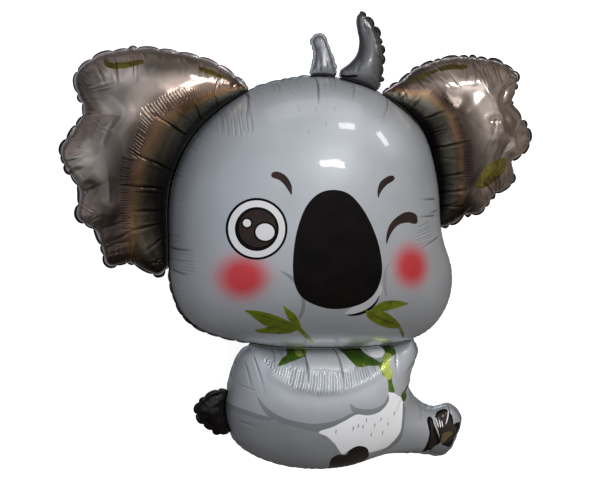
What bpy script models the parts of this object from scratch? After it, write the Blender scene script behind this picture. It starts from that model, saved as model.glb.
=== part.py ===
# A koala-shaped foil balloon, filled, sealed and lying on its back.
# Two sheets of film are welded along the outline and along the lines between the
# head, the ears, the two tufts of hair, the body and the tail.
# The face looks up (+Z), the top of the head points to +Y, the viewer's right is +X.
import math

import bpy
import numpy as np
from mathutils.geometry import delaunay_2d_cdt

# Driving sizes in metres.
HEAD_WIDTH = 0.406
WELD_WIDTH = 0.005
WELD_THICKNESS = 0.0012
REST_CUT = 0.003

# Half the thickness of a chamber over the square root of its inflation value.
FULLNESS = 1.27

# How far the seams of the ears, the body and the tail fall away behind the seam of
# the head, as a slope outward from the head.
EAR_SLOPE = 0.18
BODY_SLOPE = 0.33

# Height on the pattern below which the film belongs to the body, and the slope of the
# steepest tip toward the feet that is tried.
NECK_LINE = -0.4 * HEAD_WIDTH
STEEPEST_TIP = 0.5

# Spacing of the points along the welds, over the rounded faces, and the steps inward
# from each weld where the film rises steeply.
WELD_STEP = 0.0125
FACE_STEP = 0.019
RIM_STEPS = (0.0025, 0.008, 0.018)

# A drawn curve is first sampled this often between two points, and a weld is first
# drawn this much finer than WELD_STEP.
CURVE_SAMPLES = 16
FINER = 6

# A moved point is kept where it keeps this share of its distance, from the weld inward
# and outward, and of the spacing to the points already placed.
INWARD_SHARE = 0.93
OUTWARD_SHARE = 0.9
SPACING_SHARE = 0.55

# Points nearer to a weld than this share of WELD_STEP are held on it.
ON_WELD_SHARE = 0.001

# Outlines of the chambers as thousandths of the head's width, from the centre of the
# head. A smooth curve runs through the points.
HEAD = (
    (517, -232), (466, -80), (450, 98), (394, 270), (254, 388), (122, 437), (-5, 448),
    (-212, 400), (-382, 276), (-472, 110), (-487, -86), (-473, -282), (-387, -397),
    (-170, -463), (0, -480), (222, -489), (400, -463), (496, -366),
)
# The other chambers run from the head's edge round and back to it, and close along
# the head.
LEFT_EAR = (
    (-216, 409), (-310, 482), (-406, 517), (-554, 538), (-682, 519), (-761, 470),
    (-773, 421), (-746, 339), (-788, 273), (-826, 204), (-804, 143), (-768, 74),
    (-777, -8), (-722, -54), (-701, -118), (-684, -168), (-616, -161), (-537, -200),
    (-500, -180),
)
RIGHT_EAR = (
    (483, -72), (539, -58), (581, -31), (650, -26), (697, 30), (742, 49), (781, 76),
    (770, 145), (834, 190), (851, 241), (809, 305), (770, 365), (797, 446), (756, 487),
    (655, 509), (530, 514), (406, 479), (328, 427), (266, 396),
)
LEFT_TUFT = (
    (88, 475), (80, 507), (66, 550), (53, 584), (34, 590), (16, 572), (24, 537),
    (18, 495), (2, 458),
)
RIGHT_TUFT = (
    (250, 433), (256, 475), (262, 514), (260, 559), (246, 600), (226, 637), (200, 662),
    (181, 655), (179, 618), (186, 571), (174, 527), (146, 495), (112, 473),
)
BODY = (
    (-214, -473), (-248, -510), (-272, -603), (-282, -714), (-252, -818), (-172, -899),
    (-49, -957), (79, -983), (185, -980), (308, -946), (421, -948), (507, -963),
    (573, -979), (608, -951), (632, -862), (621, -816), (571, -773), (503, -776),
    (439, -744), (393, -693), (380, -645), (394, -579), (402, -530), (387, -498),
)
TAIL = (
    (-292, -639), (-335, -652), (-365, -676), (-384, -709), (-368, -753), (-335, -780),
    (-305, -805), (-268, -808),
)


def smooth(points, closed, step):
    """Points about step apart on a smooth curve through the given ones."""
    points = np.array(points, float) * HEAD_WIDTH / 1000
    count = len(points)
    spans = count if closed else count - 1
    curve = []
    for i in range(spans):
        if closed:
            before, start, end, after = (points[(i + k) % count] for k in (-1, 0, 1, 2))
        else:
            before = points[max(i - 1, 0)]
            start, end = points[i], points[i + 1]
            after = points[min(i + 2, count - 1)]
        for t in np.linspace(0, 1, CURVE_SAMPLES, endpoint=False):
            curve.append(0.5 * (
                2 * start + (end - before) * t
                + (2 * before - 5 * start + 4 * end - after) * t ** 2
                + (3 * start - before - 3 * end + after) * t ** 3
            ))
    if not closed:
        curve.append(points[-1])
    return evenly(np.array(curve), closed, step)


def evenly(curve, closed, step):
    """The same curve with its points evenly spaced, about step apart."""
    if closed:
        curve = np.vstack([curve, curve[:1]])
    gone = np.concatenate([[0], np.cumsum(np.hypot(*np.diff(curve, axis=0).T))])
    count = max(3, round(gone[-1] / step))
    at = np.linspace(0, gone[-1], count + 1)
    if closed:
        at = at[:-1]
    return np.stack([np.interp(at, gone, curve[:, k]) for k in (0, 1)], axis=1)


def offset(loop, distance):
    """The closed loop moved outward by distance; a negative one moves it inward."""
    along = np.roll(loop, -1, axis=0) - np.roll(loop, 1, axis=0)
    along /= np.hypot(*along.T)[:, None]
    return loop + distance * np.stack([along[:, 1], -along[:, 0]], axis=1)


def is_inside(points, loop):
    inside = np.zeros(len(points), bool)
    x, y = points.T
    for (ax, ay), (bx, by) in zip(loop, np.roll(loop, -1, axis=0)):
        if ay != by:
            crossing = (ay > y) != (by > y)
            inside ^= crossing & (x < ax + (y - ay) * (bx - ax) / (by - ay))
    return inside


def distance_to(points, loop):
    nearest = np.full(len(points), np.inf)
    for start, end in zip(loop, np.roll(loop, -1, axis=0)):
        side = end - start
        t = np.clip((points - start) @ side / (side @ side), 0, 1)
        nearest = np.minimum(nearest, np.hypot(*(points - start - t[:, None] * side).T))
    return nearest


def closed_along(points, neighbour, step):
    """A chamber whose open curve is closed by following its neighbour one weld away."""
    free = smooth(points, False, step)
    edge = offset(neighbour, WELD_WIDTH)
    first = np.hypot(*(edge - free[0]).T).argmin()
    last = np.hypot(*(edge - free[-1]).T).argmin()
    # Back along the neighbour, from where the open curve ends to where it starts.
    back = np.roll(edge[::-1], -(len(edge) - 1 - last), axis=0)
    back = back[: (last - first) % len(edge) + 1]
    ahead = np.roll(edge, -last, axis=0)[: (first - last) % len(edge) + 1]
    root = min((back, ahead), key=len)
    apart = distance_to(free, neighbour) >= WELD_WIDTH
    free = free[apart & ~is_inside(free, neighbour)]
    loop = evenly(np.vstack([free, root]), True, step)
    x, y = loop.T
    area = x @ np.roll(y, -1) - y @ np.roll(x, -1)
    return loop if area > 0 else loop[::-1]


def rim_of(chambers, step):
    """The outer edge of the film, one weld width outside the chambers together."""
    runs = []
    for own in chambers:
        edge = offset(own, WELD_WIDTH)
        free = np.ones(len(edge), bool)
        for other in chambers:
            if other is own:
                continue
            free &= ~is_inside(edge, other)
            free &= distance_to(edge, other) > WELD_WIDTH
        free &= distance_to(edge, own) > OUTWARD_SHARE * WELD_WIDTH
        starts = np.flatnonzero(free & ~np.roll(free, 1))
        for start in starts:
            turned = np.roll(np.arange(len(edge)), -start)
            kept = list(free[turned]).index(False)
            runs.append(edge[turned[:kept]])
    loop = runs.pop(0)
    while runs:
        nearest = min(range(len(runs)), key=lambda k: np.hypot(*(runs[k][0] - loop[-1])))
        loop = np.vstack([loop, runs.pop(nearest)])
    return evenly(loop, True, step)


def points_within(loop):
    """Rows of points inside a chamber: rims close to its weld, then an even spread."""
    chosen = []
    last = 0
    for depth in RIM_STEPS:
        row = offset(loop, -depth)
        deep = is_inside(row, loop) & (distance_to(row, loop) > INWARD_SHARE * depth)
        for other in chosen:
            for k, point in enumerate(row):
                gaps = np.hypot(*(other - point).T)
                deep[k] &= gaps.min(initial=np.inf) > SPACING_SHARE * (depth - last)
        chosen.append(row[deep])
        last = depth
    low, high = loop.min(axis=0), loop.max(axis=0)
    rows = np.arange(low[1], high[1], FACE_STEP * math.sqrt(0.75))
    spread = np.array([
        (x + FACE_STEP / 2 * (k % 2), y)
        for k, y in enumerate(rows)
        for x in np.arange(low[0], high[0], FACE_STEP)
    ])
    clear = is_inside(spread, loop)
    clear &= distance_to(spread, loop) > RIM_STEPS[-1] + SPACING_SHARE * FACE_STEP
    return np.vstack(chosen + [spread[clear]])


def inflation(points, triangles, held):
    """Height that a film held flat at some points takes under an even push."""
    count = len(points)
    stiffness = np.zeros((count, count))
    load = np.zeros(count)
    a, b, c = (points[triangles[:, k]] for k in range(3))
    area = 0.5 * ((b - a)[:, 0] * (c - a)[:, 1] - (b - a)[:, 1] * (c - a)[:, 0])
    sides = (c - b, a - c, b - a)
    for i in range(3):
        np.add.at(load, triangles[:, i], area / 3)
        for j in range(3):
            value = (sides[i] * sides[j]).sum(axis=1) / (4 * area)
            np.add.at(stiffness, (triangles[:, i], triangles[:, j]), value)
    free = np.flatnonzero(~held)
    height = np.zeros(count)
    height[free] = np.linalg.solve(stiffness[np.ix_(free, free)], load[free])
    return height


def seam_height(points, head, body_side):
    """The seam's own height: flat across the head and falling away outside it."""
    outside = np.where(is_inside(points, head), 0, distance_to(points, head))
    return -np.where(body_side, BODY_SLOPE, EAR_SLOPE) * outside


def balloon():
    step = WELD_STEP
    fine = step / FINER
    head = smooth(HEAD, True, fine)
    body = closed_along(BODY, head, fine)
    chambers = [head, body]
    chambers += [closed_along(c, head, fine) for c in (LEFT_EAR, RIGHT_EAR, RIGHT_TUFT)]
    chambers.append(closed_along(LEFT_TUFT, head, fine))
    chambers.append(closed_along(TAIL, body, fine))
    rim = rim_of(chambers, step)
    loops = [rim] + [evenly(c, True, step) for c in chambers]
    inner = np.vstack([points_within(c) for c in loops[1:]])

    # A flat net of triangles over the whole pattern, with the welds kept as edges.
    points = np.vstack(loops + [inner])
    sides = []
    begin = 0
    for loop in loops:
        at = np.arange(begin, begin + len(loop))
        sides += list(zip(at.tolist(), np.roll(at, -1).tolist()))
        begin += len(loop)
    flat = delaunay_2d_cdt(
        [tuple(p) for p in points], sides, [list(range(len(rim)))], 1, 1e-7)
    points = np.array([tuple(p) for p in flat[0]])
    triangles = np.array([list(f) for f in flat[2]])
    middle = points[triangles].mean(axis=1)
    triangles = triangles[is_inside(middle, rim)]

    held = np.ones(len(points), bool)
    for loop in loops[1:]:
        held[is_inside(points, loop) & (distance_to(points, loop) > ON_WELD_SHARE * WELD_STEP)] = False
    lift = FULLNESS * np.sqrt(np.maximum(inflation(points, triangles, held), 0))

    body_side = points[:, 1] < NECK_LINE
    seam = seam_height(points, loops[1], body_side)
    half = WELD_THICKNESS / 2
    upper = np.column_stack([points, seam + half + lift])
    lower = np.column_stack([points, seam - half - lift])

    # Tip the balloon toward its feet until the backs of the head and the body are level.
    least, most = 0.0, STEEPEST_TIP
    while most - least > 1e-6:
        tip = (least + most) / 2
        level = lower[:, 1] * math.sin(tip) + lower[:, 2] * math.cos(tip)
        on_body = body_side & ~is_inside(points, loops[1])
        if level[on_body].min() < level[~on_body].min():
            most = tip
        else:
            least = tip
    for side in (upper, lower):
        y, z = side[:, 1].copy(), side[:, 2].copy()
        side[:, 1] = y * math.cos(tip) - z * math.sin(tip)
        side[:, 2] = y * math.sin(tip) + z * math.cos(tip)
    drop = lower[:, 2].min() + REST_CUT
    corner = np.vstack([upper, lower])
    centre = (corner.min(axis=0) + corner.max(axis=0)) / 2
    for side in (upper, lower):
        side -= (centre[0], centre[1], drop)
    lower[:, 2] = np.maximum(lower[:, 2], 0)

    # Close the two sheets round the rim.
    edges = {}
    for tri in triangles:
        for k in range(3):
            edges[(tri[k], tri[(k + 1) % 3])] = True
    count = len(points)
    faces = [tuple(int(v) for v in tri) for tri in triangles]
    faces += [tuple(int(v) + count for v in tri[::-1]) for tri in triangles]
    for a, b in edges:
        if (b, a) not in edges:
            faces.append((int(b), int(a), int(a) + count, int(b) + count))
    used = sorted({v for face in faces for v in face})
    number = {v: k for k, v in enumerate(used)}
    both = np.vstack([upper, lower])
    mesh = bpy.data.meshes.new("foil_balloon")
    mesh.from_pydata(
        [tuple(both[v]) for v in used], [], [tuple(number[v] for v in f) for f in faces])
    mesh.update()
    return mesh


def foil(name, colour):
    material = bpy.data.materials.new(name)
    material.use_nodes = True
    shader = material.node_tree.nodes["Principled BSDF"]
    shader.inputs["Base Color"].default_value = (*colour, 1)
    shader.inputs["Metallic"].default_value = 0.9
    shader.inputs["Roughness"].default_value = 0.2
    return material


for old in list(bpy.data.objects):
    bpy.data.objects.remove(old)
piece = bpy.data.objects.new("foil_balloon", balloon())
piece.data.materials.append(foil("grey_foil", (0.3, 0.33, 0.36)))
bpy.context.scene.collection.objects.link(piece)
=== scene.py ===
import math
import random
import bpy
import bmesh
import numpy as np
from mathutils import Matrix, Vector, kdtree
from mathutils.geometry import delaunay_2d_cdt


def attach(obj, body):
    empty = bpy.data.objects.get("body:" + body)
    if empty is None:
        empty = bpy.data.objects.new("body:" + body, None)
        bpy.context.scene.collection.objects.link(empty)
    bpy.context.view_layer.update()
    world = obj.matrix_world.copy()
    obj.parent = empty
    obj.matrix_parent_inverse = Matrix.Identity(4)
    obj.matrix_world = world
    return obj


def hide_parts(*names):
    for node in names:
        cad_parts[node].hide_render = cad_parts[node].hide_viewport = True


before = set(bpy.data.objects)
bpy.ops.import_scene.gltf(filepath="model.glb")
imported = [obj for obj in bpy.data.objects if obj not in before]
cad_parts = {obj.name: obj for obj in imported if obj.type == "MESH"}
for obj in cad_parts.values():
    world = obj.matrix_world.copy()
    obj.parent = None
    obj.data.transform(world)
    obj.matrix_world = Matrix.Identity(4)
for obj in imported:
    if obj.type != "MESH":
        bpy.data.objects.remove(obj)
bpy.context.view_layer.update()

# A koala-shaped foil balloon lying on its back. Outlines and places on the pattern are
# in thousandths of the head's width, from the centre of the head, as in the solid.
headWidth = 0.406
weldWidth = 0.005
fullness = 1.27                 # height over that of a slack, evenly pushed film
earSlope = 0.18                 # how steeply the ears' seam falls away behind the head's
bodySlope = 0.33                # and the body's
neckLine = -0.4                 # share of the head's width where the body's slope starts
rootMargin = 0.00255            # weld beside a neighbour that belongs to this chamber
innerWeldShare = 0.40           # share of the ears' margin that stays bright
narrowMargin = 0.0016           # weld where it is cut close
filmGap = 0.00018               # half the thickness where the two sheets meet
loopStep = 0.0015               # spacing of points on the weld lines
artStep = 0.0012                # and on the printed outlines
fineStep = 0.0008               # and in the ribs and creases
tickStep = 0.0006               # and on the printed hairs
guideStep = 0.001               # and on the lines that ribs start and end on
swellStep = 0.002               # and on the lines of the swells
spanSamples = 16                # points worked out between two given ones
ovalSamples = 180               # and round an oval
mostRounds = 3000               # of the sum that fills a chamber
settled = 1e-12                 # and the share of error at which it stops
neckShade = 0.88                # painted shade: how dark the body is painted where the head overhangs it
neckReach = 0.0038              # and how far from the weld
# Painted shade along the bottoms of ribs, creases and pleats, by kind of fold.
foldDark = {"rib": 0.7, "crease": 1.0, "pleat": 0.2}

# How the solid lies: tipped toward the feet, then moved over the origin.
lieTip = math.radians(1.9271515)
lieShift = (0.0053250, -0.0639853, -0.1247948)


def pattern(points):
    return np.array(points, float) * headWidth / 1000


def evenly(curve, closed, step):
    # The same curve with its points evenly spaced.
    if closed:
        curve = np.vstack([curve, curve[:1]])
    gone = np.concatenate([[0], np.cumsum(np.hypot(*np.diff(curve, axis=0).T))])
    count = max(3, round(gone[-1] / step))
    at = np.linspace(0, gone[-1], count + 1)
    if closed:
        at = at[:-1]
    return np.stack([np.interp(at, gone, curve[:, k]) for k in (0, 1)], axis=1)


def smooth(points, closed, step):
    # A smooth curve through the points, sampled about every step.
    points = pattern(points)
    count = len(points)
    curve = []
    for i in range(count if closed else count - 1):
        if closed:
            before, start, end, after = (points[(i + k) % count] for k in (-1, 0, 1, 2))
        else:
            before, start, end = points[max(i - 1, 0)], points[i], points[i + 1]
            after = points[min(i + 2, count - 1)]
        for t in np.linspace(0, 1, spanSamples, endpoint=False):
            curve.append(0.5 * (2 * start + (end - before) * t
                                + (2 * before - 5 * start + 4 * end - after) * t ** 2
                                + (3 * start - before - 3 * end + after) * t ** 3))
    if not closed:
        curve.append(points[-1])
    return evenly(np.array(curve), closed, step)


def oval(centre, radii, turn, step):
    # An oval on the pattern, its half-widths turned anticlockwise by degrees.
    around = np.linspace(0, math.tau, ovalSamples, endpoint=False)
    x, y = radii[0] * np.cos(around), radii[1] * np.sin(around)
    c, s = math.cos(math.radians(turn)), math.sin(math.radians(turn))
    curve = pattern(np.stack([centre[0] + c * x - s * y, centre[1] + s * x + c * y], 1))
    return evenly(curve, True, step)


def lengthOf(loop):
    # All the way round an evenly spaced loop.
    return len(loop) * np.hypot(*(loop[1] - loop[0]))


def sideways(loop):
    # Unit vectors pointing out of a loop that runs anticlockwise.
    along = np.roll(loop, -1, axis=0) - np.roll(loop, 1, axis=0)
    along /= np.hypot(*along.T)[:, None]
    return np.stack([along[:, 1], -along[:, 0]], axis=1)


def insideOf(points, loop):
    inside = np.zeros(len(points), bool)
    near = (points >= loop.min(axis=0)) & (points <= loop.max(axis=0))
    some = np.flatnonzero(near.all(axis=1))
    x, y = points[some].T
    hit = np.zeros(len(some), bool)
    for (ax, ay), (bx, by) in zip(loop, np.roll(loop, -1, axis=0)):
        if ay != by:
            crossing = (ay > y) != (by > y)
            hit ^= crossing & (x < ax + (y - ay) * (bx - ax) / (by - ay))
    inside[some] = hit
    return inside


def inBoxes(points, boxes):
    # Whether each point is in one of the boxes, each left, right, bottom and top.
    found = np.zeros(len(points), bool)
    x, y = points.T
    for left, right, bottom, top in pattern(boxes).reshape(-1, 4):
        found |= (x > left) & (x < right) & (y > bottom) & (y < top)
    return found


def nearest(points, others):
    # Which of the others is nearest to each point, and how far away it is.
    tree = kdtree.KDTree(len(others))
    for k, (x, y) in enumerate(others):
        tree.insert((x, y, 0), k)
    tree.balance()
    found = np.array([tree.find((x, y, 0))[1:] for x, y in points]).reshape(-1, 2)
    return found[:, 0].astype(int), found[:, 1]


def nearestOn(points, loop):
    # Distance to a closed loop, and how far round the loop the nearest place is.
    at, _ = nearest(points, loop)
    sides = np.hypot(*(np.roll(loop, -1, axis=0) - loop).T)
    before = np.concatenate([[0], np.cumsum(sides)])[:-1]
    best = np.full(len(points), np.inf)
    gone = np.zeros(len(points))
    for shift in (-1, 0):
        k = (at + shift) % len(loop)
        start = loop[k]
        side = loop[(k + 1) % len(loop)] - start
        t = np.clip(((points - start) * side).sum(1) / (side * side).sum(1), 0, 1)
        away = np.hypot(*(points - start - t[:, None] * side).T)
        closer = away < best
        best[closer] = away[closer]
        gone[closer] = (before[k] + t * sides[k])[closer]
    return best, gone


def closedAlong(points, neighbour, step):
    # A chamber's open curve, closed by following its neighbour one weld away.
    free = smooth(points, False, step)
    edge = neighbour + weldWidth * sideways(neighbour)
    first = np.hypot(*(edge - free[0]).T).argmin()
    last = np.hypot(*(edge - free[-1]).T).argmin()
    back = np.roll(edge[::-1], -(len(edge) - 1 - last), axis=0)
    back = back[: (last - first) % len(edge) + 1]
    ahead = np.roll(edge, -last, axis=0)[: (first - last) % len(edge) + 1]
    root = min((back, ahead), key=len)
    apart = nearestOn(free, neighbour)[0] >= weldWidth
    free = free[apart & ~insideOf(free, neighbour)]
    loop = evenly(np.vstack([free, root]), True, step)
    x, y = loop.T
    return loop if x @ np.roll(y, -1) - y @ np.roll(x, -1) > 0 else loop[::-1]


def inflation(points, triangles, held):
    # Height that a film held flat at some points takes under an even push, by
    # conjugate gradients on the net of triangles.
    a, b, c = (points[triangles[:, k]] for k in range(3))
    area = 0.5 * ((b - a)[:, 0] * (c - a)[:, 1] - (b - a)[:, 1] * (c - a)[:, 0])
    area = np.maximum(area, 1e-12)
    sides = (c - b, a - c, b - a)
    rows, cols, values = [], [], []
    load = np.zeros(len(points))
    for i in range(3):
        np.add.at(load, triangles[:, i], area / 3)
        for j in range(3):
            rows.append(triangles[:, i])
            cols.append(triangles[:, j])
            values.append((sides[i] * sides[j]).sum(axis=1) / (4 * area))
    rows, cols, values = (np.concatenate(v) for v in (rows, cols, values))
    live = ~held[rows] & ~held[cols]
    rows, cols, values = rows[live], cols[live], values[live]
    count = len(points)
    diagonal = np.bincount(rows[rows == cols], values[rows == cols], count)
    diagonal[diagonal == 0] = 1
    height = np.zeros(count)
    rest = np.where(held, 0, load)
    push = rest / diagonal
    way = push.copy()
    gain = rest @ push
    first = gain
    for _ in range(mostRounds):
        spread = np.bincount(rows, values * way[cols], count)
        length = gain / (way @ spread)
        height += length * way
        rest -= length * spread
        push = rest / diagonal
        newGain = rest @ push
        if newGain < first * settled:
            break
        way = push + newGain / gain * way
        gain = newGain
    return height


def hexGrid(low, high, step):
    rows = np.arange(low[1], high[1], step * math.sqrt(0.75))
    across = np.arange(low[0], high[0], step)
    x = across[None, :] + step / 2 * (np.arange(len(rows)) % 2)[:, None]
    y = np.broadcast_to(rows[:, None], x.shape)
    return np.stack([x.ravel(), y.ravel()], axis=1)


# Folds, as lengths in metres and shares.
wideFold = 0.003                # folds wider than this are soft hollows
softDark = 0.15                 # and only this much painted shade
lineWidth = 0.0010              # widest line of painted shade at the bottom of a fold
foldsPerPleat = 2               # at each place where the weld is pleated
spacingSpread = (0.55, 1.45)    # least and most gap between pleats, as shares
bulgeSpread = (0.45, 1.0)       # of each scallop of the margin
liftSpread = (-0.5, 1.0)        # and of its bow
pleatLean = 0.35                # how far a pleat leans to either side of straight in
rootPleat = 0.6                 # length of pleats beside a neighbour, as a share
ribSlide = 0.12                 # how far a rib strays toward the next
ribReach = (-0.06, 0.14)        # and past both its ends
ribDepth = (0.7, 1.15)          # least and most, as shares of the ladder's
pleatWidth = (0.0010, 0.0020)
gatherLength = (0.003, 0.009)   # fine gathers between the pleats
gatherDepth = (0.00012, 0.0003)
gatherWidth = (0.0008, 0.0012)
restFade = 0.0012               # how far from the weld the folds reach their full depth
bowFade = 0.004                 # how far from the weld its buckling dies out
bowShare = 0.35                 # share of the buckling that the chamber takes along
teeth = (0.50, 0.98)            # width of the margin at a pleat and midway, as shares
waves = ((0.070, 1.0), (0.022, 0.25))   # long and short rumples: their size, share of height

# Ladders of ribs: the two edges of the band, how many ribs, and how deep the grooves.
ladders = {
    "left_ear": [
        {"outer": ((-450, 417), (-494, 401), (-537, 381), (-582, 351)),
         "inner": ((-425, 379), (-459, 360), (-500, 335), (-552, 315)),
         "ribs": 15, "depth": 0.00120, "width": 0.0011},
        {"outer": ((-351, 414), (-393, 411), (-436, 412)),
         "inner": ((-351, 385), (-386, 382), (-416, 379)),
         "ribs": 11, "depth": 0.00070, "width": 0.0009},
        {"outer": ((-588, 336), (-600, 301), (-615, 260), (-636, 214)),
         "inner": ((-558, 305), (-568, 278), (-579, 240), (-600, 190)),
         "ribs": 14, "depth": 0.00120, "width": 0.0011},
        {"outer": ((-655, 192), (-661, 148), (-661, 106)),
         "inner": ((-616, 182), (-622, 145), (-625, 104)),
         "ribs": 10, "depth": 0.00100, "width": 0.0012},
        {"outer": ((-661, 90), (-658, 30), (-650, -40)),
         "inner": ((-632, 88), (-632, 30), (-626, -38)),
         "ribs": 16, "depth": 0.00060, "width": 0.0010},
    ],
    "right_ear": [
        {"outer": ((422, 410), (443, 393), (461, 378), (481, 359)),
         "inner": ((402, 384), (421, 371), (440, 356), (459, 341)),
         "ribs": 11, "depth": 0.00090, "width": 0.0009},
        {"outer": ((503, 311), (516, 281), (526, 246)),
         "inner": ((477, 304), (489, 272), (502, 239)),
         "ribs": 10, "depth": 0.00090, "width": 0.0010},
        {"outer": ((548, 232), (552, 173), (553, 106)),
         "inner": ((518, 228), (522, 173), (524, 106)),
         "ribs": 17, "depth": 0.00080, "width": 0.0009},
    ],
    "body": [{
        "outer": ((-176, -518), (-146, -550), (-115, -583), (-82, -608), (-49, -621), (3, -634),
                  (56, -637), (92, -622), (129, -608), (167, -595), (206, -577), (240, -557)),
        "inner": ((-168, -503), (-137, -516), (-107, -526), (-81, -535), (-43, -543), (8, -550),
                  (61, -553), (99, -546), (138, -538), (169, -532), (200, -528), (232, -524)),
        "ribs": 46, "depth": 0.00135, "width": 0.00125}],
    "head": [
        {"outer": ((-321, 332), (-300, 346), (-273, 353), (-255, 350), (-239, 341)),
         "inner": ((-334, 262), (-311, 264), (-288, 264), (-263, 263), (-243, 273)),
         "ribs": 13, "depth": 0.00075, "width": 0.0010},
        {"outer": ((226, 388), (254, 379), (288, 360)),
         "inner": ((152, 313), (176, 309), (201, 300)),
         "ribs": 9, "depth": 0.00065, "width": 0.0010},
        {"outer": ((-478, -118), (-476, -156), (-474, -188)),
         "inner": ((-430, -112), (-430, -153), (-430, -190)),
         "ribs": 8, "depth": 0.00060, "width": 0.0010},
        {"outer": ((366, -32), (374, -65), (384, -92)),
         "inner": ((290, -48), (291, -75), (300, -106)),
         "ribs": 7, "depth": 0.00080, "width": 0.0011},
        {"outer": ((376, -455), (430, -440), (474, -410)),
         "inner": ((350, -410), (396, -396), (436, -370)),
         "ribs": 10, "depth": 0.00060, "width": 0.0009},
    ],
}

# Low swells along a line, with their height and half-width in metres.
swells = {
    "body": ((((-150, -555), (-121, -573), (-82, -596), (-31, -606), (21, -612), (74, -612),
               (118, -603), (167, -590), (207, -574), (241, -555), (271, -528), (293, -512)),
              0.0022, 0.0080),),
    "left_ear": ((((-700, 270), (-660, 290), (-630, 340)), 0.0024, 0.0150),
                 (((-700, 20), (-670, 60), (-650, 120)), 0.0016, 0.0120)),
    "right_ear": ((((590, 440), (620, 380), (650, 330), (640, 250)), 0.0030, 0.0140),
                  (((740, 200), (690, 250), (640, 250)), 0.0024, 0.0120)),
}

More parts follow.
